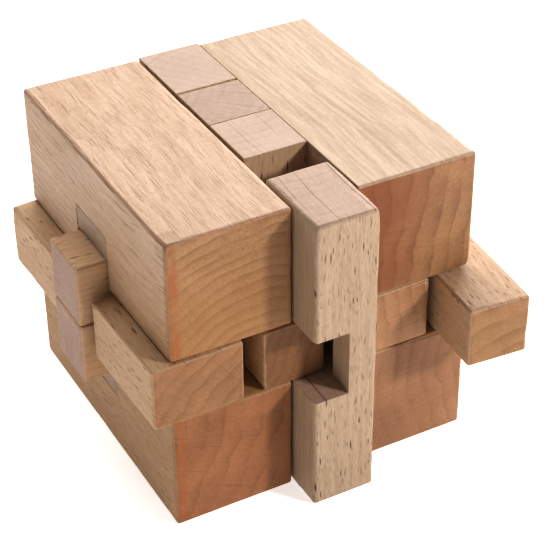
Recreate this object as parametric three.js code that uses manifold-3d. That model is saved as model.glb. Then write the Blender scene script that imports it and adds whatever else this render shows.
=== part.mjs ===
// A wooden burr puzzle: a cube of four corner blocks, with upright, depthwise and cross bars
// running between them. It stands half opened, with several bars slid out of the cube.
// Millimetres, +Z up. The origin is the centre of the cube's base.
import * as THREE from "three";
import { mergeVertices } from "three/addons/utils/BufferGeometryUtils.js";
import Module from "manifold-3d";

const wasm = await Module();
wasm.setup();

// Driving dimensions.
const CUBE = 72; // edge of the closed cube
const BAR = 15; // section of a plain bar
const LIP = 6; // what a wide bar has beyond a plain one, and the height of a locking strip
const SLIP = 0.1; // how far a hidden face stands back from its nominal plane
const EASE = 0.2; // extra room on each face of a notch

// Planes that the pieces share, measured from the centre of the cube.
const OUT = CUBE / 2;
const HALF = BAR / 2;
const WIDE = BAR + LIP;
const NECK = BAR / 4; // half the width of a cross bar's neck and of the slot that it runs in
const PAST = 1; // how far a cutter runs past a face

// The cross bars lie a little behind the centre, between the two middle uprights.
const CROSS_Y = 1;
const CROSS_HALF = 7.1; // half the width of a cross bar
const STRIP_HALF = 7.65; // half the width of a locking strip
const CHANNEL_HALF = 7.85; // half the width of the channel in a corner block
const BACK_JOINT_Y = 16.4; // between the back middle upright and the back upright
const SHOULDER_X = -WIDE - EASE; // inner end of a cross bar's full left end
const STOP_X = OUT - HALF; // inner end of its wide right end

// Fits that differ from the rest.
const LOOSE_GAP = 0.4; // the left-hand blocks stand this far off the uprights
const TIGHT_GAP = 0.05; // the right-hand blocks nearly touch them
const LOW_TOP = 0.4; // the inner left bar is this much lower than its slot
const SHY_SIDE = 0.5; // and this much narrower
const NOTCH_RUN = 0.7; // the uprights' notch for that bar runs this far past their middle
const NOTCH_LIP = 6.7; // the front upright's notch has a lip this thick on its right
const UNDERCUT_RUN = 5; // and behind it runs this far, which keeps its wall out of sight
const HOOK_RUN = 2.5; // play along X of the left bar's web in the upper cross bar
const WEB = LIP - 1; // thickness of that web
const KEY_SECTION = 14.45;

// How far each bar is slid out of the closed cube.
const FRONT_UPRIGHT_OUT = 8.7;
const BACK_UPRIGHT_OUT = 0.5;
const CROSS_OUT = 7;
const LEFT_BAR_OUT = 5;
const LEFT_BAR_SKEW = THREE.MathUtils.degToRad(1.07);
const RIGHT_BAR_OUT = 4.9;
const KEY_CENTRE = [36.8, -15];
const KEY_SKEW = THREE.MathUtils.degToRad(-4.43);

const WOOD = {
  block: { color: 0xd9ad84, roughness: 0.62 },
  upright: { color: 0xdfb893, roughness: 0.6 },
  bar: { color: 0xc99769, roughness: 0.62 },
  key: { color: 0xd6a87a, roughness: 0.62 },
};

// A solid box between two corners.
function box(low, high) {
  const size = high.map((value, axis) => value - low[axis]);
  const geometry = new THREE.BoxGeometry(...size);
  const centre = low.map((value, axis) => value + size[axis] / 2);
  geometry.translate(...centre);
  geometry.deleteAttribute("normal");
  geometry.deleteAttribute("uv");
  const merged = mergeVertices(geometry);
  return new wasm.Manifold(
    new wasm.Mesh({
      numProp: 3,
      vertProperties: merged.attributes.position.array,
      triVerts: new Uint32Array(merged.index.array),
    }),
  );
}

// A piece between nominal planes: each face that isn't on the cube's skin stands back by SLIP.
function stock(low, high) {
  const onSkin = (value) => Math.abs(value) >= OUT;
  return box(
    low.map((value) => (onSkin(value) ? value : value + SLIP)),
    high.map((value) => (onSkin(value) ? value : value - SLIP)),
  );
}

// The room that a notch between nominal planes takes: EASE more on every side.
function room(low, high) {
  return box(
    low.map((value) => value - EASE),
    high.map((value) => value + EASE),
  );
}

function cut(solid, ...cutters) {
  return cutters.reduce((rest, cutter) => rest.subtract(cutter), solid);
}

function addPiece(parent, name, wood, solid) {
  const mesh = solid.getMesh();
  const geometry = new THREE.BufferGeometry();
  geometry.setAttribute("position", new THREE.BufferAttribute(mesh.vertProperties, 3));
  geometry.setIndex(new THREE.BufferAttribute(mesh.triVerts, 1));
  geometry.computeVertexNormals();
  const material = new THREE.MeshStandardMaterial({ ...wood, metalness: 0 });
  const piece = new THREE.Mesh(geometry, material);
  piece.name = name;
  parent.add(piece);
  return piece;
}

// A corner block runs the full depth. Its channel lets a cross bar and a locking strip through.
// Next to the uprights the channel has two side ribs, and the strip lies on them.
function cornerBlock(side, level) {
  const inner = HALF + (side < 0 ? LOOSE_GAP : TIGHT_GAP);
  const across = (near, far) => (side < 0 ? [-far, -near] : [near, far]);
  const upright = (near, far) => (level < 0 ? [-far, -near] : [near, far]);
  const span = (x, y, z) => box([x[0], y[0], z[0]], [x[1], y[1], z[1]]);
  const alongY = (half) => [CROSS_Y - half, CROSS_Y + half];
  const body = span(across(inner, OUT), [-OUT, OUT], upright(HALF + SLIP, OUT));
  return cut(
    body,
    span(across(WIDE, OUT + PAST), alongY(CHANNEL_HALF), upright(0, WIDE)),
    span(across(0, OUT), alongY(CHANNEL_HALF), upright(BAR, WIDE)),
    span(across(0, OUT), alongY(NECK + EASE), upright(0, WIDE)),
  );
}

// A locking strip passes through two blocks, and the middle uprights grip its waist.
function lockingStrip(level) {
  const [low, high] = level < 0 ? [-WIDE, -BAR] : [BAR, WIDE];
  const body = box([-OUT, CROSS_Y - STRIP_HALF, low + SLIP], [OUT, CROSS_Y + STRIP_HALF, high - SLIP]);
  const cheek = (from, to) => room([-HALF, from, low], [HALF, to, high]);
  return cut(
    body,
    cheek(CROSS_Y - STRIP_HALF - PAST, CROSS_Y - NECK),
    cheek(CROSS_Y + NECK, CROSS_Y + STRIP_HALF + PAST),
  );
}

// A cross bar has a full left end, a thin neck in its outer half and a stop at its right end.
function crossBar(level) {
  const [low, high] = level < 0 ? [-BAR, 0] : [0, BAR];
  const [outerLow, outerHigh] = level < 0 ? [-BAR - PAST, -HALF] : [HALF, BAR + PAST];
  const [innerLow, innerHigh] = level < 0 ? [-HALF, PAST] : [-PAST, HALF];
  const front = CROSS_Y - CROSS_HALF;
  const back = CROSS_Y + CROSS_HALF;
  const body = box([-OUT, front, low + SLIP], [OUT, back, high - SLIP]);
  const flank = (from, to) => box([SHOULDER_X, from, outerLow], [STOP_X, to, outerHigh]);
  const innerCut = (from, to) => box([from, front - PAST, innerLow], [to, back + PAST, innerHigh]);
  const necked = cut(body, flank(front - PAST, CROSS_Y - NECK), flank(CROSS_Y + NECK, back + PAST));
  if (level < 0) {
    return cut(necked, innerCut(SHOULDER_X, OUT + PAST));
  }
  return cut(necked, innerCut(SHOULDER_X, HOOK_RUN - BAR), innerCut(WIDE, OUT + PAST));
}

// The notch through which the inner left bar passes an upright.
function leftBarNotch(from, to) {
  return box([-HALF - PAST, from - PAST, -HALF - 2 * EASE], [NOTCH_RUN, to + PAST, HALF + EASE]);
}

function endUpright(from, to) {
  const body = box([SLIP - HALF, from, -OUT], [HALF - TIGHT_GAP, to, OUT]);
  return cut(body, leftBarNotch(from, to));
}

// The front upright's notch is wider behind its lip.
function frontUprightSolid() {
  const back = SLIP - BAR;
  const undercut = box(
    [0, NOTCH_LIP - OUT, -HALF - 2 * EASE],
    [UNDERCUT_RUN, back + PAST, HALF + EASE],
  );
  return cut(endUpright(-OUT, back), undercut);
}

// A middle upright has a window for the cross bars and a slot above and below it for the strips.
function middleUpright(from, to, facing) {
  const body = box([SLIP - HALF, from, -OUT], [HALF - TIGHT_GAP, to, OUT]);
  const reach = (half) => (facing < 0 ? [CROSS_Y - half, to + PAST] : [from - PAST, CROSS_Y + half]);
  const opening = (half, level) => {
    const [front, back] = reach(half + EASE);
    return box([-HALF - PAST, front, -level - EASE], [HALF + PAST, back, level + EASE]);
  };
  return cut(body, opening(CROSS_HALF + EASE, BAR), opening(NECK, WIDE), leftBarNotch(from, to));
}

// The upper cross bar passes over the depthwise bars in this notch.
function crossNotch(low, high) {
  return room(
    [low - PAST, CROSS_Y - CROSS_HALF, 0],
    [high + PAST, CROSS_Y + CROSS_HALF, HALF + PAST],
  );
}

function leftBar() {
  const notchHalf = CROSS_HALF + 1.7;
  return cut(
    stock([-OUT, -OUT, -HALF], [-BAR, OUT, HALF]),
    box([-OUT - PAST, CROSS_Y - notchHalf, -HALF - PAST], [-BAR - WEB, CROSS_Y + notchHalf, HALF + PAST]),
  );
}

function innerLeftBar() {
  const body = box([SHY_SIDE - BAR, -OUT, SLIP - HALF], [-SLIP, OUT, HALF - LOW_TOP]);
  return cut(body, crossNotch(-BAR, 0));
}

// The inner right bar keeps a tongue under the cross bar, and clears the uprights either side.
function innerRightBar() {
  const rebate = (from, to) => room([-PAST, from, -HALF - PAST], [HALF, to, HALF + PAST]);
  return cut(
    stock([0, -OUT, -HALF], [WIDE, OUT, HALF]),
    rebate(-OUT - PAST, CROSS_Y - CROSS_HALF - 2 * EASE),
    rebate(CROSS_Y + CROSS_HALF + 2 * EASE, OUT + PAST),
    crossNotch(0, WIDE),
  );
}

function keyBar() {
  const half = KEY_SECTION / 2;
  return box([-half, -OUT, -half], [half, OUT, half]);
}

const puzzle = new THREE.Group();
const pieces = new THREE.Group();
pieces.position.z = OUT;
puzzle.add(pieces);

addPiece(pieces, "upper_left_block", WOOD.block, cornerBlock(-1, 1));
addPiece(pieces, "upper_right_block", WOOD.block, cornerBlock(1, 1));
addPiece(pieces, "lower_left_block", WOOD.block, cornerBlock(-1, -1));
addPiece(pieces, "lower_right_block", WOOD.block, cornerBlock(1, -1));

addPiece(pieces, "upper_locking_strip", WOOD.bar, lockingStrip(1));
addPiece(pieces, "lower_locking_strip", WOOD.bar, lockingStrip(-1));
addPiece(pieces, "upper_cross_bar", WOOD.bar, crossBar(1)).position.x = -CROSS_OUT;
addPiece(pieces, "lower_cross_bar", WOOD.bar, crossBar(-1)).position.x = -CROSS_OUT;

const middleFront = middleUpright(2 * SLIP - BAR, CROSS_Y - SLIP, -1);
const middleBack = middleUpright(CROSS_Y + SLIP, BACK_JOINT_Y - SLIP, 1);
addPiece(pieces, "front_middle_upright", WOOD.upright, middleFront);
addPiece(pieces, "back_middle_upright", WOOD.upright, middleBack);
const frontUpright = addPiece(pieces, "front_upright", WOOD.upright, frontUprightSolid());
frontUpright.position.y = -FRONT_UPRIGHT_OUT;
const backUpright = addPiece(pieces, "back_upright", WOOD.upright, endUpright(BACK_JOINT_Y + SLIP, OUT));
backUpright.position.y = BACK_UPRIGHT_OUT;

const left = addPiece(pieces, "left_bar", WOOD.bar, leftBar());
left.position.x = -LEFT_BAR_OUT;
left.rotation.z = LEFT_BAR_SKEW;
addPiece(pieces, "inner_left_bar", WOOD.bar, innerLeftBar());
addPiece(pieces, "inner_right_bar", WOOD.bar, innerRightBar()).position.x = RIGHT_BAR_OUT;
const key = addPiece(pieces, "key_bar", WOOD.key, keyBar());
key.position.set(...KEY_CENTRE, 0);
key.rotation.z = KEY_SKEW;

export default puzzle;
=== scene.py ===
"""A half-opened wooden burr puzzle of plain sanded beech, on a pale floor in soft studio light.

Every piece of wood is built again from its solid in the frame, with broken and knocked
edges, and dressed in a beech that is worked out in the round: growth rings about the
heart of its own log, rays that run out from that heart, and pores along the grain.
Lengths with _MM in their names, and all sizes in the classes, are millimetres.
"""

import logging
import math
from dataclasses import dataclass, field
from enum import Enum

import bmesh
import bpy
from mathutils import Matrix, Vector, noise


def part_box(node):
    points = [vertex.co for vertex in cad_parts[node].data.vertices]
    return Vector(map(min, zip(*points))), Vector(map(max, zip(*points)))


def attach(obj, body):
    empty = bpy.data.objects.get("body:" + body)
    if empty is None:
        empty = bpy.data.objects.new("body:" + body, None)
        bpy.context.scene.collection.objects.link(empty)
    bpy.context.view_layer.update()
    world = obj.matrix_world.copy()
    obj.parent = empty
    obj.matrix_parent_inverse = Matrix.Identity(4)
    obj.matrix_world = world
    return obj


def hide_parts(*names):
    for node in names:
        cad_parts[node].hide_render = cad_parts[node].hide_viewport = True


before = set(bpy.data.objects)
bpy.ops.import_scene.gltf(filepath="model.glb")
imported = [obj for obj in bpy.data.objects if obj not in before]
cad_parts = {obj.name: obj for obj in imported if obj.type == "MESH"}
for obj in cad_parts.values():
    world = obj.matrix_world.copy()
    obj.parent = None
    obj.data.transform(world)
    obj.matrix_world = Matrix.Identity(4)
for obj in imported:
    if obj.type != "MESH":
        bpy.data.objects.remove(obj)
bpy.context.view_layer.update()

log = logging.getLogger("burr_puzzle")

MM = 0.001


def linear(colour: str) -> tuple[float, float, float, float]:
    """Turns an sRGB hex colour into linear light.

    Args:
        colour: The colour as "#rrggbb".

    Returns:
        Linear red, green, blue and an alpha of 1.
    """
    parts = [int(colour[i : i + 2], 16) / 255 for i in (1, 3, 5)]
    lit = [c / 12.92 if c <= 0.04045 else ((c + 0.055) / 1.055) ** 2.4 for c in parts]
    return (lit[0], lit[1], lit[2], 1.0)


class Grain(Enum):
    """The row axis that a piece's grain runs along, as the order of its board axes.

    The three indices pick the row axes for the board's across, up and along axes.
    """

    CROSSWISE = (1, 2, 0)
    DEPTHWISE = (0, 2, 1)
    UPRIGHT = (0, 1, 2)


@dataclass
class ShaderGraph:
    """A material's node tree, to which nodes are added one by one."""

    tree: bpy.types.NodeTree

    def add(self, kind: str, links: dict | None = None, **settings: object) -> bpy.types.Node:
        """Adds a node with its settings, and feeds its inputs.

        Args:
            kind: The node's type name without its ShaderNode prefix.
            links: Input name or index to an output socket or a plain value.
            **settings: Attributes of the node itself.

        Returns:
            The new node.
        """
        node = self.tree.nodes.new("ShaderNode" + kind)
        for name, value in settings.items():
            setattr(node, name, value)
        for key, value in (links or {}).items():
            if isinstance(value, bpy.types.NodeSocket):
                self.tree.links.new(value, node.inputs[key])
            else:
                node.inputs[key].default_value = value
        return node


@dataclass(frozen=True)
class BeechTones:
    """The colours of one board of steamed beech, as sRGB hex.

    Steamed beech is a pale pinkish tan along the grain. Sawn across, its open pores
    drink light, so end grain looks deeper and warmer.
    """

    pale: str = "#cfb497"
    deep: str = "#bf9f7f"
    late_wood: str = "#a47e5a"
    fleck: str = "#6f4a30"
    end_pale: str = "#b48a66"
    end_deep: str = "#9c7250"
    end_late: str = "#6e4a2e"
    burnt: str = "#a8683f"


@dataclass(frozen=True)
class Marks:
    """One kind of thin dark mark in the wood, scattered one to a cell.

    Sizes are in millimetres: outwards from the heart, round it, and along the grain.
    """

    cell: tuple[float, float, float]
    half_size: tuple[float, float, float]
    strength: float
    bare_share: float = 0.3


# A beech ray stands 1 to 3 mm tall, or 5 where it runs into the next, and is 0.1 to
# 0.2 mm thick. It is drawn a little thicker so that it shows, and so are the vessels.
BROAD_RAYS = Marks((11.0, 1.0, 4.2), (9.0, 0.17, 1.5), 1.0, 0.1)
TALL_RAYS = Marks((9.0, 0.5, 8.5), (7.0, 0.075, 4.4), 0.85, 0.1)
# In a board sawn near the bark a ray runs right through, so its end grain is lined across.
LONG_RAYS = Marks((34.0, 1.2, 4.4), (30.0, 0.23, 1.6), 1.0, 0.1)
FINE_RAYS = Marks((6.0, 0.5, 2.6), (4.0, 0.08, 0.95), 0.5, 0.1)
VESSELS = Marks((0.6, 0.6, 10.0), (0.10, 0.10, 5.0), 0.4, 0.1)


@dataclass(frozen=True)
class Board:
    """How a piece lies in the row frame: its middle and half sizes, and its turn."""

    middle: Vector
    half: Vector
    turn: float


@dataclass(frozen=True)
class SandedBeech:
    """Plain sanded beech, with no varnish: its rings, rays and vessels are lit matt.

    The heart of the log is a line along the grain, heart_mm away from the middle of
    the piece across and up the board.
    """

    name: str
    tones: BeechTones
    grain: Grain
    heart_mm: tuple[float, float]
    ring_mm: float = 2.6
    side_rings: float = 0.12
    end_rings: float = 0.35
    marks: tuple[Marks, ...] = (BROAD_RAYS, FINE_RAYS, VESSELS)
    end_marks: float = 0.3
    arris_burn: float = 0.12
    left_burn: float = 0.0
    red_heart_mm: float = 0.0
    # Painted shade: a darker, tanner patch about one place, where the light falls off.
    shade_patch_place: tuple[float, float, float] = (0.0, 0.0, 0.0)
    shade_patch_strength: float = 0.0
    roughness: float = 0.58
    seed: float = 0.0

    def material(self, board: Board) -> bpy.types.Material:
        """Makes the wood as a material.

        Args:
            board: How the piece lies.

        Returns:
            The finished material.
        """
        material = bpy.data.materials.new(self.name)
        material.use_nodes = True
        material.node_tree.nodes.clear()
        graph = ShaderGraph(material.node_tree)
        place = self._to_board(graph, "Object", board, 1 / MM)
        normal = self._to_board(graph, "Normal", board, 1)
        log_place, radius, spoke = self._log_place(graph, place)
        end_face, arris, ray_end = self._facing(graph, normal, spoke)
        rings = self._rings(graph, radius, place)
        streaks = self._streaks(graph, log_place)
        marks = [
            self._marks(graph, log_place, kind, number)
            for number, kind in enumerate(self.marks)
        ]
        dark = self._darkest(graph, marks)
        colour = self._wood_colour(graph, place, end_face, rings, streaks)
        colour = self._redden_heart(graph, colour, radius, end_face)
        colour = self._paint_shade_patch(graph, colour, place)
        colour = self._burn_edges(graph, colour, place, board, end_face, arris)
        colour = self._darken_marks(graph, colour, dark, end_face, ray_end)
        self._surface(graph, colour, marks[0], streaks, end_face)
        return material

    def _to_board(
        self, graph: ShaderGraph, what: str, board: Board, scale: float
    ) -> bpy.types.NodeSocket:
        """Turns a place or a normal from the row frame to the board's own axes.

        Args:
            graph: The material's nodes.
            what: "Object" for a place and "Normal" for a normal.
            board: How the piece lies.
            scale: What to multiply by.

        Returns:
            The place or normal as (across, up, along).
        """
        source = graph.add("TexCoord").outputs[what]
        if what == "Object":
            source = graph.add(
                "VectorMath", {0: source, 1: board.middle}, operation="SUBTRACT"
            ).outputs[0]
        square = graph.add(
            "VectorRotate", {"Vector": source, "Angle": -board.turn}, rotation_type="Z_AXIS"
        )
        scaled = graph.add("VectorMath", {0: square.outputs[0], 3: scale}, operation="SCALE")
        parts = graph.add("SeparateXYZ", {0: scaled.outputs[0]})
        order = self.grain.value
        return graph.add("CombineXYZ", {i: parts.outputs[order[i]] for i in range(3)}).outputs[0]

    def _noise(
        self,
        graph: ShaderGraph,
        place: bpy.types.NodeSocket,
        size: tuple[float, float, float],
        number: int,
        detail: float = 2.0,
    ) -> bpy.types.Node:
        """Makes a cloudy noise whose patches have a given size.

        Args:
            graph: The material's nodes.
            place: The place to draw it at, in millimetres.
            size: The size of a patch along each axis, in millimetres.
            number: Which noise this is, for a place of its own in the pattern.
            detail: How many finer layers it has.

        Returns:
            The noise node.
        """
        moved = graph.add(
            "VectorMath",
            {0: place, 1: [1 / side for side in size], 2: self._offset(number)},
            operation="MULTIPLY_ADD",
        )
        return graph.add("TexNoise", {"Vector": moved.outputs[0], "Scale": 1.0, "Detail": detail})

    def _offset(self, number: int) -> Vector:
        """Gives each pattern of each piece a place of its own.

        Args:
            number: Which pattern of the piece it is.

        Returns:
            How far to move the pattern.
        """
        return Vector((7.13, 3.71, 5.37)) * (self.seed + 0.37) + Vector((1.9, 8.3, 2.7)) * number

    def _log_place(
        self, graph: ShaderGraph, place: bpy.types.NodeSocket
    ) -> tuple[bpy.types.NodeSocket, bpy.types.NodeSocket, bpy.types.NodeSocket]:
        """Works out where each point lies in the log that the board was sawn from.

        Args:
            graph: The material's nodes.
            place: Place in the board.

        Returns:
            The place as (outwards, round, along), the distance from the heart, and the
            direction outwards from the heart.
        """
        # A trunk is never quite straight: its heart wanders a little along its length.
        wander = self._noise(graph, place, (34, 34, 34), 0)
        level = graph.add(
            "VectorMath", {0: wander.outputs["Color"], 1: (0.5, 0.5, 0.5)}, operation="SUBTRACT"
        )
        sway = graph.add("VectorMath", {0: level.outputs[0], 1: (4, 4, 0)}, operation="MULTIPLY")
        swayed = graph.add("VectorMath", {0: place, 1: sway.outputs[0]}, operation="ADD")
        heart = Vector((self.heart_mm[0], self.heart_mm[1], 0))
        spoke = graph.add("VectorMath", {0: swayed.outputs[0], 1: heart}, operation="SUBTRACT")
        flat = graph.add("VectorMath", {0: spoke.outputs[0], 1: (1, 1, 0)}, operation="MULTIPLY")
        radius = graph.add("VectorMath", {0: flat.outputs[0]}, operation="LENGTH")
        sideways = Vector((heart.y, -heart.x, 0)).normalized()
        offset = graph.add("VectorMath", {0: flat.outputs[0], 1: sideways}, operation="DOT_PRODUCT")
        sine = graph.add(
            "Math", {0: offset.outputs["Value"], 1: radius.outputs["Value"]}, operation="DIVIDE"
        )
        angle = graph.add("Math", {0: sine.outputs[0]}, operation="ARCSINE")
        arc = graph.add("Math", {0: angle.outputs[0], 1: heart.length}, operation="MULTIPLY")
        along = graph.add("SeparateXYZ", {0: spoke.outputs[0]})
        log_place = graph.add(
            "CombineXYZ", {0: radius.outputs["Value"], 1: arc.outputs[0], 2: along.outputs[2]}
        )
        outwards = graph.add("VectorMath", {0: flat.outputs[0]}, operation="NORMALIZE")
        return log_place.outputs[0], radius.outputs["Value"], outwards.outputs[0]

    def _facing(
        self, graph: ShaderGraph, normal: bpy.types.NodeSocket, outwards: bpy.types.NodeSocket
    ) -> tuple[bpy.types.NodeSocket, bpy.types.NodeSocket, bpy.types.NodeSocket]:
        """Finds which way each face is turned.

        Args:
            graph: The material's nodes.
            normal: The face's normal, in the board's axes.
            outwards: The direction outwards from the heart.

        Returns:
            1 on end grain, 1 on a rounded arris, and 1 where rays are cut across.
        """
        size = graph.add("VectorMath", {0: normal}, operation="ABSOLUTE")
        parts = graph.add("SeparateXYZ", {0: size.outputs[0]})
        end_face = graph.add(
            "MapRange",
            {"Value": parts.outputs[2], "From Min": 0.82, "From Max": 0.98},
            interpolation_type="SMOOTHSTEP",
        )
        level = graph.add("Math", {0: parts.outputs[0], 1: parts.outputs[1]}, operation="MAXIMUM")
        most = graph.add("Math", {0: level.outputs[0], 1: parts.outputs[2]}, operation="MAXIMUM")
        arris = graph.add(
            "MapRange",
            {"Value": most.outputs[0], "From Min": 0.985, "From Max": 0.86},
            interpolation_type="SMOOTHSTEP",
        )
        across = graph.add("VectorMath", {0: normal, 1: outwards}, operation="DOT_PRODUCT")
        turned = graph.add("Math", {0: across.outputs["Value"]}, operation="ABSOLUTE")
        # A ray seen broadside has the colour of the wood round it, so it hardly shows.
        ray_end = graph.add(
            "MapRange",
            {"Value": turned.outputs[0], "From Min": 0.12, "From Max": 0.5},
        )
        results = [node.outputs["Result"] for node in (end_face, arris, ray_end)]
        return results[0], results[1], results[2]

    def _rings(
        self, graph: ShaderGraph, radius: bpy.types.NodeSocket, place: bpy.types.NodeSocket
    ) -> bpy.types.NodeSocket:
        """Draws the growth rings, each ending in a thin dark line of late wood.

        Args:
            graph: The material's nodes.
            radius: Distance from the heart.
            place: Place in the board.

        Returns:
            1 in the late wood and 0 in the early wood.
        """
        uneven = self._noise(graph, place, (13, 13, 40), 1, detail=4.0)
        push = graph.add("Math", {0: uneven.outputs["Fac"], 1: 1.7}, operation="MULTIPLY")
        years = graph.add("Math", {0: radius, 1: 1 / self.ring_mm}, operation="MULTIPLY")
        count = graph.add("Math", {0: years.outputs[0], 1: push.outputs[0]}, operation="ADD")
        part = graph.add("Math", {0: count.outputs[0]}, operation="FRACT")
        ramp = graph.add("ValToRGB", {"Fac": part.outputs[0]})
        stops = ramp.color_ramp.elements
        stops[0].color = (0.1, 0.1, 0.1, 1)
        stops[1].position = 1.0
        stops[1].color = (0.1, 0.1, 0.1, 1)
        for position, grey in ((0.12, 0.0), (0.45, 0.15), (0.78, 0.6), (0.92, 1.0)):
            stops.new(position).color = (grey, grey, grey, 1)
        # Some years are plain and others are faint, and a line fades along its length.
        fading = self._noise(graph, place, (9, 9, 30), 2)
        shown = graph.add(
            "MapRange", {"Value": fading.outputs["Fac"], "From Min": 0.35, "From Max": 0.6, "To Min": 0.25}
        )
        rings = graph.add(
            "Math", {0: ramp.outputs["Color"], 1: shown.outputs["Result"]}, operation="MULTIPLY"
        )
        return rings.outputs[0]

    def _marks(
        self, graph: ShaderGraph, log_place: bpy.types.NodeSocket, kind: Marks, number: int
    ) -> bpy.types.NodeSocket:
        """Scatters one kind of mark through the wood.

        Args:
            graph: The material's nodes.
            log_place: Place in the log.
            kind: The marks.
            number: Which kind this is, for a place of its own in the pattern.

        Returns:
            The mark's darkness, 0 between marks.
        """
        cell = Vector(kind.cell)
        cells = graph.add(
            "VectorMath",
            {0: log_place, 1: [1 / side for side in cell], 2: self._offset(10 + number)},
            operation="MULTIPLY_ADD",
        )
        scatter = graph.add("TexVoronoi", {"Vector": cells.outputs[0], "Scale": 1.0})
        offset = graph.add(
            "VectorMath", {0: cells.outputs[0], 1: scatter.outputs["Position"]}, operation="SUBTRACT"
        )
        stretch = [side / half for side, half in zip(cell, kind.half_size)]
        shape = graph.add("VectorMath", {0: offset.outputs[0], 1: stretch}, operation="MULTIPLY")
        reach = graph.add("VectorMath", {0: shape.outputs[0]}, operation="LENGTH")
        chance = graph.add("SeparateColor", {0: scatter.outputs["Color"]})
        long = graph.add("MapRange", {"Value": chance.outputs[1], "To Min": 0.6, "To Max": 1.25})
        body = graph.add(
            "MapRange",
            {
                "Value": reach.outputs["Value"],
                "From Min": long.outputs["Result"],
                "From Max": 0.35,
            },
            interpolation_type="SMOOTHSTEP",
        )
        depth = graph.add(
            "MapRange",
            {
                "Value": chance.outputs[0],
                "From Min": kind.bare_share,
                "To Max": kind.strength,
            },
        )
        mark = graph.add(
            "Math", {0: body.outputs["Result"], 1: depth.outputs["Result"]}, operation="MULTIPLY"
        )
        return mark.outputs[0]

    def _darkest(
        self, graph: ShaderGraph, marks: list[bpy.types.NodeSocket]
    ) -> bpy.types.NodeSocket:
        """Lays the kinds of marks over each other.

        Args:
            graph: The material's nodes.
            marks: The darkness of each kind.

        Returns:
            The darkness of the darkest.
        """
        dark = marks[0]
        for mark in marks[1:]:
            dark = graph.add("Math", {0: dark, 1: mark}, operation="MAXIMUM").outputs[0]
        return dark

    def _streaks(self, graph: ShaderGraph, log_place: bpy.types.NodeSocket) -> bpy.types.NodeSocket:
        """Draws the faint threads of the wood's fibre, 0.4 mm wide and 15 mm long.

        Args:
            graph: The material's nodes.
            log_place: Place in the log.

        Returns:
            A value about 0.5, higher in the darker threads.
        """
        return self._noise(graph, log_place, (0.8, 0.8, 15), 3, detail=3.0).outputs["Fac"]

    def _mix(
        self, graph: ShaderGraph, amount: object, first: object, second: object
    ) -> bpy.types.NodeSocket:
        """Mixes two colours.

        Args:
            graph: The material's nodes.
            amount: How much of the second colour.
            first: A colour or a colour socket.
            second: A colour or a colour socket.

        Returns:
            The mixed colour.
        """
        return graph.add("Mix", {0: amount, 6: first, 7: second}, data_type="RGBA").outputs[2]

    def _wood_colour(
        self,
        graph: ShaderGraph,
        place: bpy.types.NodeSocket,
        end_face: bpy.types.NodeSocket,
        rings: bpy.types.NodeSocket,
        streaks: bpy.types.NodeSocket,
    ) -> bpy.types.NodeSocket:
        """Puts the clear wood's colour together from its tones.

        Args:
            graph: The material's nodes.
            place: Place in the board.
            end_face: 1 on end grain.
            rings: 1 in late wood.
            streaks: Higher in the darker threads.

        Returns:
            The colour.
        """
        tones = self.tones
        cloud = self._noise(graph, place, (11, 11, 48), 4, detail=3.0)
        broad = graph.add("MapRange", {"Value": cloud.outputs["Fac"], "From Min": 0.3, "From Max": 0.7})
        fine = graph.add("MapRange", {"Value": streaks, "From Min": 0.36, "From Max": 0.64})
        # Seen from their ends the threads are only dots, so they count for less there.
        share = graph.add("MapRange", {"Value": end_face, "To Min": 0.62, "To Max": 0.2})
        threads = graph.add(
            "Mix",
            {0: share.outputs["Result"], 2: broad.outputs["Result"], 3: fine.outputs["Result"]},
        )
        # Cut cells speckle the surface, each speck about half a millimetre wide.
        specks = self._noise(graph, place, (0.5, 0.5, 1.4), 6, detail=1.0)
        grit = graph.add("MapRange", {"Value": specks.outputs["Fac"], "From Min": 0.3, "From Max": 0.7})
        blend = graph.add("Mix", {0: 0.3, 2: threads.outputs[0], 3: grit.outputs["Result"]})
        side = self._mix(graph, blend.outputs[0], linear(tones.pale), linear(tones.deep))
        end = self._mix(graph, blend.outputs[0], linear(tones.end_pale), linear(tones.end_deep))
        clear = self._mix(graph, end_face, side, end)
        late = self._mix(graph, end_face, linear(tones.late_wood), linear(tones.end_late))
        strength = graph.add(
            "MapRange", {"Value": end_face, "To Min": self.side_rings, "To Max": self.end_rings}
        )
        amount = graph.add("Math", {0: rings, 1: strength.outputs["Result"]}, operation="MULTIPLY")
        return self._mix(graph, amount.outputs[0], clear, late)

    def _redden_heart(
        self,
        graph: ShaderGraph,
        colour: bpy.types.NodeSocket,
        radius: bpy.types.NodeSocket,
        end_face: bpy.types.NodeSocket,
    ) -> bpy.types.NodeSocket:
        """Reddens the end grain of the red heart that old beech trunks have.

        Args:
            graph: The material's nodes.
            colour: The wood's colour.
            radius: Distance from the heart.
            end_face: 1 on end grain.

        Returns:
            The colour, redder within red_heart_mm of the heart.
        """
        inside = graph.add(
            "MapRange",
            {
                "Value": radius,
                "From Min": self.red_heart_mm + 8,
                "From Max": self.red_heart_mm - 8,
                "To Max": 0.7,
            },
            interpolation_type="SMOOTHSTEP",
        )
        amount = graph.add("Math", {0: inside.outputs["Result"], 1: end_face}, operation="MULTIPLY")
        return self._mix(graph, amount.outputs[0], colour, linear("#8c5030"))

    def _paint_shade_patch(
        self, graph: ShaderGraph, colour: bpy.types.NodeSocket, place: bpy.types.NodeSocket
    ) -> bpy.types.NodeSocket:
        """Paints shade about one place: the wood turns darker and tanner towards it, where the light falls
        off.

        Args:
            graph: The material's nodes.
            colour: The wood's colour.
            place: Place in the board.

        Returns:
            The colour, with painted shade about shade_patch_place.
        """
        away = graph.add("VectorMath", {0: place, 1: self.shade_patch_place}, operation="SUBTRACT")
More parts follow.
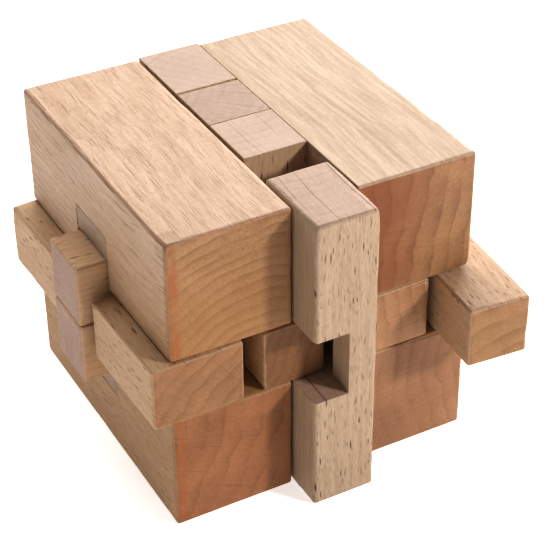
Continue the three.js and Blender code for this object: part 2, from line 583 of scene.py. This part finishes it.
        # The painted shade patch is longer along the bar than it is high.
        squashed = graph.add("VectorMath", {0: away.outputs[0], 1: (1, 1.6, 1)}, operation="MULTIPLY")
        distance = graph.add("VectorMath", {0: squashed.outputs[0]}, operation="LENGTH")
        amount = graph.add(
            "MapRange",
            {
                "Value": distance.outputs["Value"],
                "From Min": 44.0,
                "From Max": 4.0,
                "To Max": self.shade_patch_strength,
            },
        )
        # The tan mixed in here is painted shade, not a colour of the wood.
        return self._mix(graph, amount.outputs["Result"], colour, linear("#a97c4a"))

    def _burn_edges(
        self,
        graph: ShaderGraph,
        colour: bpy.types.NodeSocket,
        place: bpy.types.NodeSocket,
        board: Board,
        end_face: bpy.types.NodeSocket,
        arris: bpy.types.NodeSocket,
    ) -> bpy.types.NodeSocket:
        """Warms the arrises, and reddens a ragged band down the left of the end grain.

        The band is where a belt sander rubbed hard enough to scorch.

        Args:
            graph: The material's nodes.
            colour: The wood's colour.
            place: Place in the board.
            board: How the piece lies.
            end_face: 1 on end grain.
            arris: 1 on a rounded arris.

        Returns:
            The colour with its edges reddened.
        """
        rim = board.half[self.grain.value[0]] / MM
        band = 3.2
        ragged = self._noise(graph, place, (2.6, 3.5, 3.5), 5, detail=3.0)
        parts = graph.add("SeparateXYZ", {0: place})
        near = graph.add(
            "MapRange",
            {"Value": parts.outputs[0], "From Min": band - rim, "From Max": 1.9 - rim},
        )
        patchy = graph.add(
            "MapRange", {"Value": ragged.outputs["Fac"], "From Min": 0.34, "From Max": 0.58}
        )
        rubbed = graph.add(
            "Math", {0: near.outputs["Result"], 1: patchy.outputs["Result"]}, operation="MULTIPLY"
        )
        on_end = graph.add("Math", {0: rubbed.outputs[0], 1: end_face}, operation="MULTIPLY")
        band_burn = graph.add("Math", {0: on_end.outputs[0], 1: self.left_burn}, operation="MULTIPLY")
        round_burn = graph.add("Math", {0: arris, 1: self.arris_burn}, operation="MULTIPLY")
        amount = graph.add(
            "Math", {0: band_burn.outputs[0], 1: round_burn.outputs[0]}, operation="MAXIMUM"
        )
        return self._mix(graph, amount.outputs[0], colour, linear(self.tones.burnt))

    def _darken_marks(
        self,
        graph: ShaderGraph,
        colour: bpy.types.NodeSocket,
        dark: bpy.types.NodeSocket,
        end_face: bpy.types.NodeSocket,
        ray_end: bpy.types.NodeSocket,
    ) -> bpy.types.NodeSocket:
        """Stains the marks, more weakly on end grain and where rays lie broadside.

        Args:
            graph: The material's nodes.
            colour: The wood's colour.
            dark: The darkness of the marks.
            end_face: 1 on end grain.
            ray_end: 1 where rays are cut across.

        Returns:
            The colour with its marks.
        """
        strength = graph.add("Mix", {0: end_face, 2: ray_end, 3: self.end_marks})
        amount = graph.add("Math", {0: dark, 1: strength.outputs[0]}, operation="MULTIPLY")
        return self._mix(graph, amount.outputs[0], colour, linear(self.tones.fleck))

    def _surface(
        self,
        graph: ShaderGraph,
        colour: bpy.types.NodeSocket,
        rays: bpy.types.NodeSocket,
        streaks: bpy.types.NodeSocket,
        end_face: bpy.types.NodeSocket,
    ) -> None:
        """Adds the matt sanded surface, with sunken rays and raised fibre.

        Args:
            graph: The material's nodes.
            colour: The wood's colour.
            rays: The darkness of the broadest rays.
            streaks: Higher in the darker threads.
            end_face: 1 on end grain, which is sanded smoother.
        """
        height = graph.add("Math", {0: streaks, 1: rays}, operation="SUBTRACT")
        strength = graph.add("MapRange", {"Value": end_face, "To Min": 0.25, "To Max": 0.06})
        relief = graph.add(
            "Bump",
            {
                "Height": height.outputs[0],
                "Strength": strength.outputs["Result"],
                "Distance": 0.06 * MM,
            },
        )
        dullness = graph.add(
            "MapRange",
            {
                "Value": streaks,
                "From Min": 0.3,
                "From Max": 0.7,
                "To Min": self.roughness - 0.06,
                "To Max": self.roughness + 0.08,
            },
        )
        # Bare sanded wood scatters light as any matt plant fibre does: IOR about 1.5.
        shader = graph.add(
            "BsdfPrincipled",
            {
                "Base Color": colour,
                "Roughness": dullness.outputs["Result"],
                "IOR": 1.5,
                "Specular IOR Level": 0.35,
                "Normal": relief.outputs["Normal"],
            },
        )
        graph.add("OutputMaterial", {"Surface": shader.outputs["BSDF"]})


@dataclass(frozen=True)
class Knock:
    """A corner of a piece that has been knocked or rubbed away.

    The corner is given as three signs, and stands at that end of the piece's box.
    """

    corner: tuple[int, int, int]
    reach: float = 2.4
    depth: float = 0.6


@dataclass
class WoodPiece:
    """One piece of wood, cut square, with its edges broken by sandpaper."""

    node: str
    body: str
    slot: str
    finish: SandedBeech
    edge: float = 0.7
    seams: tuple[tuple[int, int], ...] = ()
    knocks: tuple[Knock, ...] = ()
    seam_edge: float = 0.12
    row: float = 1.0
    step: float = 3.4

    def build(self) -> bpy.types.Object:
        """Builds the piece, dresses it and hands it to its body.

        Returns:
            The finished object.
        """
        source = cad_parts[self.node]
        shape = bmesh.new()
        shape.from_mesh(source.data)
        bmesh.ops.remove_doubles(shape, verts=shape.verts, dist=0.002 * MM)
        bmesh.ops.dissolve_limit(
            shape, angle_limit=math.radians(0.3), verts=shape.verts, edges=shape.edges
        )
        skew = self._skew(shape)
        shape.transform(Matrix.Rotation(-skew, 4, "Z"))
        self._rule(shape)
        self._break_edges(shape)
        self._knock_corners(shape)
        shape.transform(Matrix.Rotation(skew, 4, "Z"))
        mesh = bpy.data.meshes.new(self.node + "_wood")
        shape.to_mesh(mesh)
        shape.free()
        piece = bpy.data.objects.new(self.node + "_wood", mesh)
        bpy.context.scene.collection.objects.link(piece)
        low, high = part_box(self.node)
        board = Board((low + high) / 2, (high - low) / 2, skew)
        mesh.materials.append(self.finish.material(board))
        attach(piece, self.body)
        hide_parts(self.node)
        log.info("%s: %d faces", piece.name, len(mesh.polygons))
        return piece

    def _skew(self, shape: bmesh.types.BMesh) -> float:
        """Finds how far the piece is turned about the vertical.

        Args:
            shape: The piece's mesh.

        Returns:
            The turn in radians, within half a right angle.
        """
        level = [e.verts[1].co - e.verts[0].co for e in shape.edges]
        level = [d for d in level if abs(d.z) < 0.01 * MM]
        longest = max(level, key=lambda d: d.length)
        angle = math.atan2(longest.y, longest.x)
        quarter = math.pi / 2
        return angle - round(angle / quarter) * quarter

    def _rule(self, shape: bmesh.types.BMesh) -> None:
        """Rules lines over the faces, close beside each edge and then a step apart.

        Args:
            shape: The piece's mesh, standing square.
        """
        for axis in range(3):
            stations = sorted({round(v.co[axis] / MM, 2) for v in shape.verts})
            cuts: list[float] = list(stations[1:-1])
            for near, far in zip(stations, stations[1:]):
                if far - near < 3 * self.row:
                    continue
                inner = far - near - 2 * self.row
                count = max(1, round(inner / self.step))
                cuts += [near + self.row + inner * i / count for i in range(count + 1)]
            normal = Vector([float(i == axis) for i in range(3)])
            for place in cuts:
                bmesh.ops.bisect_plane(
                    shape,
                    geom=shape.verts[:] + shape.edges[:] + shape.faces[:],
                    plane_co=normal * place * MM,
                    plane_no=normal,
                    dist=0.001 * MM,
                )
        # A ruled line that lands on an edge would leave a sliver beside it.
        bmesh.ops.remove_doubles(shape, verts=shape.verts, dist=0.02 * MM)
        bmesh.ops.dissolve_degenerate(shape, dist=0.002 * MM, edges=shape.edges)

    def _break_edges(self, shape: bmesh.types.BMesh) -> None:
        """Rounds the outside edges, less so along a seam, and never quite evenly.

        Args:
            shape: The piece's mesh.
        """
        low = Vector([min(v.co[i] for v in shape.verts) for i in range(3)])
        high = Vector([max(v.co[i] for v in shape.verts) for i in range(3)])
        sharp = [e for e in shape.edges if e.is_manifold and e.calc_face_angle_signed() > 0.7]
        tight = [e for e in sharp if self._on_seam(e, low, high)]
        open_edges = [e for e in sharp if e not in tight]
        for vertex in self._bevel(shape, open_edges, self.edge):
            place = vertex.co / MM
            seed = Vector((self.finish.seed, 0, 0))
            rub = max(0.0, noise.noise(place * 0.16 + seed)) * 0.25
            nick = max(0.0, noise.noise(place * 0.9 + seed) - 0.4) * 0.8
            vertex.co -= vertex.normal * (rub + nick) * MM
        self._bevel(shape, [e for e in tight if e.is_valid], self.seam_edge)

    def _on_seam(self, edge: bmesh.types.BMEdge, low: Vector, high: Vector) -> bool:
        """Tells whether an edge is sawn inside the outline, or meets the next piece flush.

        Args:
            edge: The edge.
            low: The piece's lowest corner.
            high: The piece's highest corner.

        Returns:
            True where the edge stays crisp.
        """
        touched = []
        for axis in range(3):
            for sign, side in ((-1, low[axis]), (1, high[axis])):
                if all(abs(v.co[axis] - side) < 0.01 * MM for v in edge.verts):
                    touched.append((axis, sign))
        return len(touched) < 2 or any(side in self.seams for side in touched)

    def _bevel(
        self, shape: bmesh.types.BMesh, edges: list[bmesh.types.BMEdge], width: float
    ) -> list[bmesh.types.BMVert]:
        """Rounds some edges.

        Args:
            shape: The piece's mesh.
            edges: The edges.
            width: How far the rounding reaches, in millimetres.

        Returns:
            The vertices of the rounding.
        """
        result = bmesh.ops.bevel(
            shape,
            geom=edges,
            offset=width * MM,
            offset_type="OFFSET",
            segments=3,
            profile=0.5,
            affect="EDGES",
            clamp_overlap=True,
        )
        shape.normal_update()
        for face in result["faces"]:
            face.smooth = True
        return result["verts"]

    def _knock_corners(self, shape: bmesh.types.BMesh) -> None:
        """Pushes the knocked corners in.

        Args:
            shape: The piece's mesh.
        """
        low = Vector([min(v.co[i] for v in shape.verts) for i in range(3)])
        high = Vector([max(v.co[i] for v in shape.verts) for i in range(3)])
        for knock in self.knocks:
            ends = zip(low, high, knock.corner)
            corner = Vector([near if sign < 0 else far for near, far, sign in ends])
            inwards = -Vector(knock.corner).normalized()
            for vertex in shape.verts:
                distance = (vertex.co - corner).length / MM
                if distance < knock.reach:
                    fall = (1 - distance / knock.reach) ** 1.2
                    rough = 1 + 0.5 * noise.noise(vertex.co / MM * 1.7)
                    vertex.co += inwards * knock.depth * fall * rough * MM


@dataclass
class CornerBlocks:
    """The four big blocks at the corners of the cube, their grain running front to back."""

    edge: float = 0.7
    upper_left_tones: BeechTones = field(
        default_factory=lambda: BeechTones(
            pale="#d6baa0", deep="#bd9d82", end_pale="#c09a76", end_deep="#9c7450"
        )
    )
    upper_right_tones: BeechTones = field(
        default_factory=lambda: BeechTones(
            pale="#d0b79e", deep="#b39a80", end_pale="#b48c64", end_deep="#93694c"
        )
    )
    lower_left_tones: BeechTones = field(
        default_factory=lambda: BeechTones(
            pale="#b8946f", deep="#a58059", end_pale="#b07d56", end_deep="#946444"
        )
    )
    lower_right_tones: BeechTones = field(
        default_factory=lambda: BeechTones(
            pale="#c9aa8b", deep="#b99572", end_pale="#af8563", end_deep="#926a4e"
        )
    )

    def build(self) -> list[bpy.types.Object]:
        """Builds the four blocks.

        Returns:
            The blocks, upper ones first.
        """
        along = Grain.DEPTHWISE
        upper_left = SandedBeech(
            "upper_left_beech",
            self.upper_left_tones,
            along,
            heart_mm=(8, -38),
            end_rings=0.48,
            left_burn=0.75,
            arris_burn=0.4,
            # Painted shade towards the front foot of the left face, where the light falls off.
            shade_patch_place=(-14.0, -12.0, -34.0),
            shade_patch_strength=0.6,
            marks=(TALL_RAYS, FINE_RAYS, VESSELS),
            seed=1,
        )
        upper_right = SandedBeech(
            "upper_right_beech",
            self.upper_right_tones,
            along,
            heart_mm=(-90, 12),
            ring_mm=4.2,
            side_rings=0.2,
            end_rings=0.6,
            left_burn=0.4,
            red_heart_mm=90.0,
            seed=2,
        )
        lower_left = SandedBeech(
            "lower_left_beech",
            self.lower_left_tones,
            along,
            heart_mm=(-70, 25),
            ring_mm=4.6,
            left_burn=0.8,
            end_rings=0.4,
            seed=3,
        )
        lower_right = SandedBeech(
            "lower_right_beech",
            self.lower_right_tones,
            along,
            heart_mm=(80, 10),
            ring_mm=3.8,
            end_rings=0.28,
            seed=4,
        )
        rubbed = (Knock((-1, -1, 1), reach=4.0, depth=1.2),)
        chipped = (Knock((1, -1, -1), reach=1.8, depth=0.5),)
        rows = (
            ("upper_left_block", upper_left, (), rubbed),
            ("upper_right_block", upper_right, ((0, -1),), chipped),
            ("lower_left_block", lower_left, (), ()),
            ("lower_right_block", lower_right, ((0, -1),), ()),
        )
        return [
            WoodPiece(node, "cube", "block_beech", finish, self.edge, seams, knocks).build()
            for node, finish, seams, knocks in rows
        ]


@dataclass
class Uprights:
    """The row of four uprights down the middle, their ends flush with the top.

    All but the front one were sanded with the cube closed, so their seams are crisp.
    """

    edge: float = 0.75
    front_tones: BeechTones = field(
        default_factory=lambda: BeechTones(
            pale="#c4ab93", deep="#ad957b", fleck="#55321e", end_pale="#c8ad99", end_deep="#b69a85"
        )
    )
    front_middle_tones: BeechTones = field(
        default_factory=lambda: BeechTones(end_pale="#cbb29e", end_deep="#bda28d")
    )
    back_middle_tones: BeechTones = field(
        default_factory=lambda: BeechTones(end_pale="#bfa592", end_deep="#ad9280")
    )
    back_tones: BeechTones = field(
        default_factory=lambda: BeechTones(end_pale="#c5ae9c", end_deep="#b89f8d")
    )

    def build(self) -> list[bpy.types.Object]:
        """Builds the uprights.

        Returns:
            The uprights from front to back.
        """
        top_knocks = tuple(Knock((x, -1, 1), reach=2.6, depth=0.5) for x in (-1, 1))
        seams = ((0, -1), (0, 1), (1, -1), (1, 1))
        rows = (
            ("front_upright", "front_upright", self.front_tones, (6, 300), 0.7, 11.0, top_knocks),
            ("front_middle_upright", "cube", self.front_middle_tones, (-4, 300), 0.5, 12.0, ()),
            ("back_middle_upright", "cube", self.back_middle_tones, (-30, 30), 0.35, 13.0, ()),
            ("back_upright", "back_upright", self.back_tones, (60, 40), 0.25, 14.0, ()),
        )
        pieces = []
        for node, body, tones, heart, end_marks, seed, knocks in rows:
            finish = SandedBeech(
                node + "_beech",
                tones,
                Grain.UPRIGHT,
                heart,
                end_rings=0.12,
                marks=(LONG_RAYS, FINE_RAYS, VESSELS),
                end_marks=end_marks,
                arris_burn=0.06,
                seed=seed,
            )
            sides = () if knocks else seams
            piece = WoodPiece(node, body, "upright_beech", finish, self.edge, sides, knocks)
            pieces.append(piece.build())
        return pieces


@dataclass
class DepthBars:
    """The bars that run front to back between the upper and the lower blocks."""

    edge: float = 0.55
    tones: BeechTones = field(
        default_factory=lambda: BeechTones(
            pale="#cdae8c", deep="#bd9a76", end_pale="#b48962", end_deep="#987050"
        )
    )
    # Painted shade: the inner left bar's end grain is darker, where it sits in shade beside the front
    # upright.
    inner_left_shaded_tones: BeechTones = field(
        default_factory=lambda: BeechTones(
            pale="#cdae8c", deep="#bd9a76", end_pale="#9e7451", end_deep="#855f42"
        )
    )
    inner_right_tones: BeechTones = field(
        default_factory=lambda: BeechTones(
            pale="#cdae8c", deep="#bd9a76", end_pale="#be936d", end_deep="#a07859"
        )
    )
    key_tones: BeechTones = field(
        default_factory=lambda: BeechTones(
            pale="#d6b89a", deep="#bf9e7e", end_pale="#b68d64", end_deep="#9b7652"
        )
    )

    def build(self) -> list[bpy.types.Object]:
        """Builds the bars.

        Returns:
            The bars from left to right.
        """
        rows = (
            ("left_bar", "left_bar", "bar_beech", self.tones, (48, -54), 3.6, 21.0),
            ("inner_left_bar", "cube", "bar_beech", self.inner_left_shaded_tones, (-45, 20), 3.0, 22.0),
            ("inner_right_bar", "inner_right_bar", "bar_beech", self.inner_right_tones, (-40, -8), 3.4, 23.0),
            ("key_bar", "key_bar", "key_beech", self.key_tones, (14, -56), 4.0, 24.0),
        )
        pieces = []
        for node, body, slot, tones, heart, ring, seed in rows:
            finish = SandedBeech(
                node + "_beech", tones, Grain.DEPTHWISE, heart, ring, end_rings=0.4, seed=seed
            )
            pieces.append(WoodPiece(node, body, slot, finish, self.edge).build())
        return pieces


@dataclass
class CrossBars:
    """The two cross bars and the two thin locking strips that lie on and under them."""

    edge: float = 0.5
    strip_edge: float = 0.12
    # Painted light: the cross bars' side tones are paler than the wood, standing in for the light on their
    # tops.
    tones: BeechTones = field(
        default_factory=lambda: BeechTones(
            pale="#e2c09c", deep="#cfaa84", end_pale="#b79888", end_deep="#a68673"
        )
    )
    strip_tones: BeechTones = field(
        default_factory=lambda: BeechTones(
            pale="#cdac8a", deep="#bc9874", end_pale="#bba38c", end_deep="#ae947b"
        )
    )
    lower_strip_tones: BeechTones = field(
        default_factory=lambda: BeechTones(
            pale="#cdac8a", deep="#bc9874", end_pale="#a98e76", end_deep="#9a7f69"
        )
    )

    def build(self) -> list[bpy.types.Object]:
        """Builds the bars and strips.

        Returns:
            The cross bars and then the strips, upper ones first.
        """
        rows = (
            ("upper_cross_bar", "upper_cross_bar", self.tones, self.edge, (10, 54), 31.0),
            ("lower_cross_bar", "lower_cross_bar", self.tones, self.edge, (-12, 60), 32.0),
            ("upper_locking_strip", "cube", self.strip_tones, self.strip_edge, (30, 70), 33.0),
            ("lower_locking_strip", "cube", self.lower_strip_tones, self.strip_edge, (-30, 60), 34.0),
        )
        pieces = []
        for node, body, tones, edge, heart, seed in rows:
            finish = SandedBeech(
                node + "_beech", tones, Grain.CROSSWISE, heart, end_rings=0.15, seed=seed
            )
            pieces.append(WoodPiece(node, body, "bar_beech", finish, edge).build())
        return pieces


@dataclass
class Studio:
    """A pale floor, soft light from above and the front, and the camera."""

    azimuth: float = -28.49
    elevation: float = 34.85
    roll: float = -0.47
    distance: float = 384.0
    aim_right: float = 6.76
    aim_down: float = 3.80
    cube_half: float = 36.0
    lens: float = 111.25
    sensor: float = 36.0
    room_light: float = 0.22
    floor_glow: float = 0.65
    contrast: float = 0.75

    def build(self) -> None:
        """Builds the floor, the lights and the camera."""
        self._camera()
        self._floor()
        self._sky()
        self._lamp("key_lamp", (440, -600, 430), 110, 4.5, "#ffffff")
        self._lamp("rear_overhead_softbox", (0, 500, 600), 500, 4.6, "#ffffff")
        self._lamp("rear_right_softbox", (520, 520, 300), 500, 6.7, "#ffffff")
        self._lamp("rear_left_softbox", (-520, 520, 260), 500, 0.3, "#ffffff")
        view = bpy.context.scene.view_settings
        view.view_transform = "Standard"
        view.gamma = self.contrast

    def _camera(self) -> None:
        """Stands the camera in front, to the left and above, and turns it to the cube."""
        turn, lift = math.radians(self.azimuth), math.radians(self.elevation)
        back = Vector(
            (math.sin(turn) * math.cos(lift), -math.cos(turn) * math.cos(lift), math.sin(lift))
        )
        right = Vector((0, 0, 1)).cross(back).normalized()
        up = back.cross(right)
        tilt = math.radians(self.roll)
        side = right * math.cos(tilt) + up * math.sin(tilt)
        top = up * math.cos(tilt) - right * math.sin(tilt)
        target = Vector((0, 0, self.cube_half)) + side * self.aim_right - top * self.aim_down
        place = (target + back * self.distance) * MM
        data = bpy.data.cameras.new("camera")
        data.lens = self.lens
        data.sensor_width = self.sensor
        camera = bpy.data.objects.new("camera", data)
        axes = Matrix((side, top, back)).transposed().to_4x4()
        camera.matrix_world = Matrix.Translation(place) @ axes
        bpy.context.scene.collection.objects.link(camera)
        bpy.context.scene.camera = camera

    def _floor(self) -> None:
        """Lays a wide matt floor of pale sheet, faintly lit from below as a light table is."""
        half = 4000 * MM
        mesh = bpy.data.meshes.new("floor")
        corners = [(-half, -half, 0), (half, -half, 0), (half, half, 0), (-half, half, 0)]
        mesh.from_pydata(corners, [], [(0, 1, 2, 3)])
        floor = bpy.data.objects.new("floor", mesh)
        bpy.context.scene.collection.objects.link(floor)
        material = bpy.data.materials.new("pale_card")
        material.use_nodes = True
        material.node_tree.nodes.clear()
        graph = ShaderGraph(material.node_tree)
        shader = graph.add(
            "BsdfPrincipled",
            {
                "Base Color": linear("#f7f7f7"),
                "Roughness": 0.9,
                "Emission Color": linear("#ffffff"),
                "Emission Strength": self.floor_glow,
            },
        )
        graph.add("OutputMaterial", {"Surface": shader.outputs["BSDF"]})
        mesh.materials.append(material)

    def _sky(self) -> None:
        """Fills the room with even white light."""
        world = bpy.data.worlds.new("studio")
        world.use_nodes = True
        shade = world.node_tree.nodes["Background"]
        shade.inputs["Color"].default_value = (1, 1, 1, 1)
        shade.inputs["Strength"].default_value = self.room_light
        bpy.context.scene.world = world

    def _lamp(
        self, name: str, place: tuple[float, float, float], size: float, power: float, colour: str
    ) -> None:
        """Hangs a square softbox that faces the middle of the cube.

        Args:
            name: The lamp's name.
            place: Where it hangs, in millimetres.
            size: Its side, in millimetres.
            power: Its power in watts.
            colour: Its colour as sRGB hex.
        """
        data = bpy.data.lights.new(name, "AREA")
        data.size = size * MM
        data.energy = power
        data.color = linear(colour)[:3]
        lamp = bpy.data.objects.new(name, data)
        position = Vector(place) * MM
        target = Vector((0, 0, self.cube_half)) * MM
        lamp.location = position
        lamp.rotation_euler = (target - position).to_track_quat("-Z", "Y").to_euler()
        bpy.context.scene.collection.objects.link(lamp)


def main() -> None:
    """Builds the puzzle piece by piece, and then the studio round it."""
    logging.basicConfig(level=logging.INFO, format="%(name)s: %(message)s")
    Studio().build()
    CornerBlocks().build()
    Uprights().build()
    DepthBars().build()
    CrossBars().build()


if __name__ == "__main__":
    main()
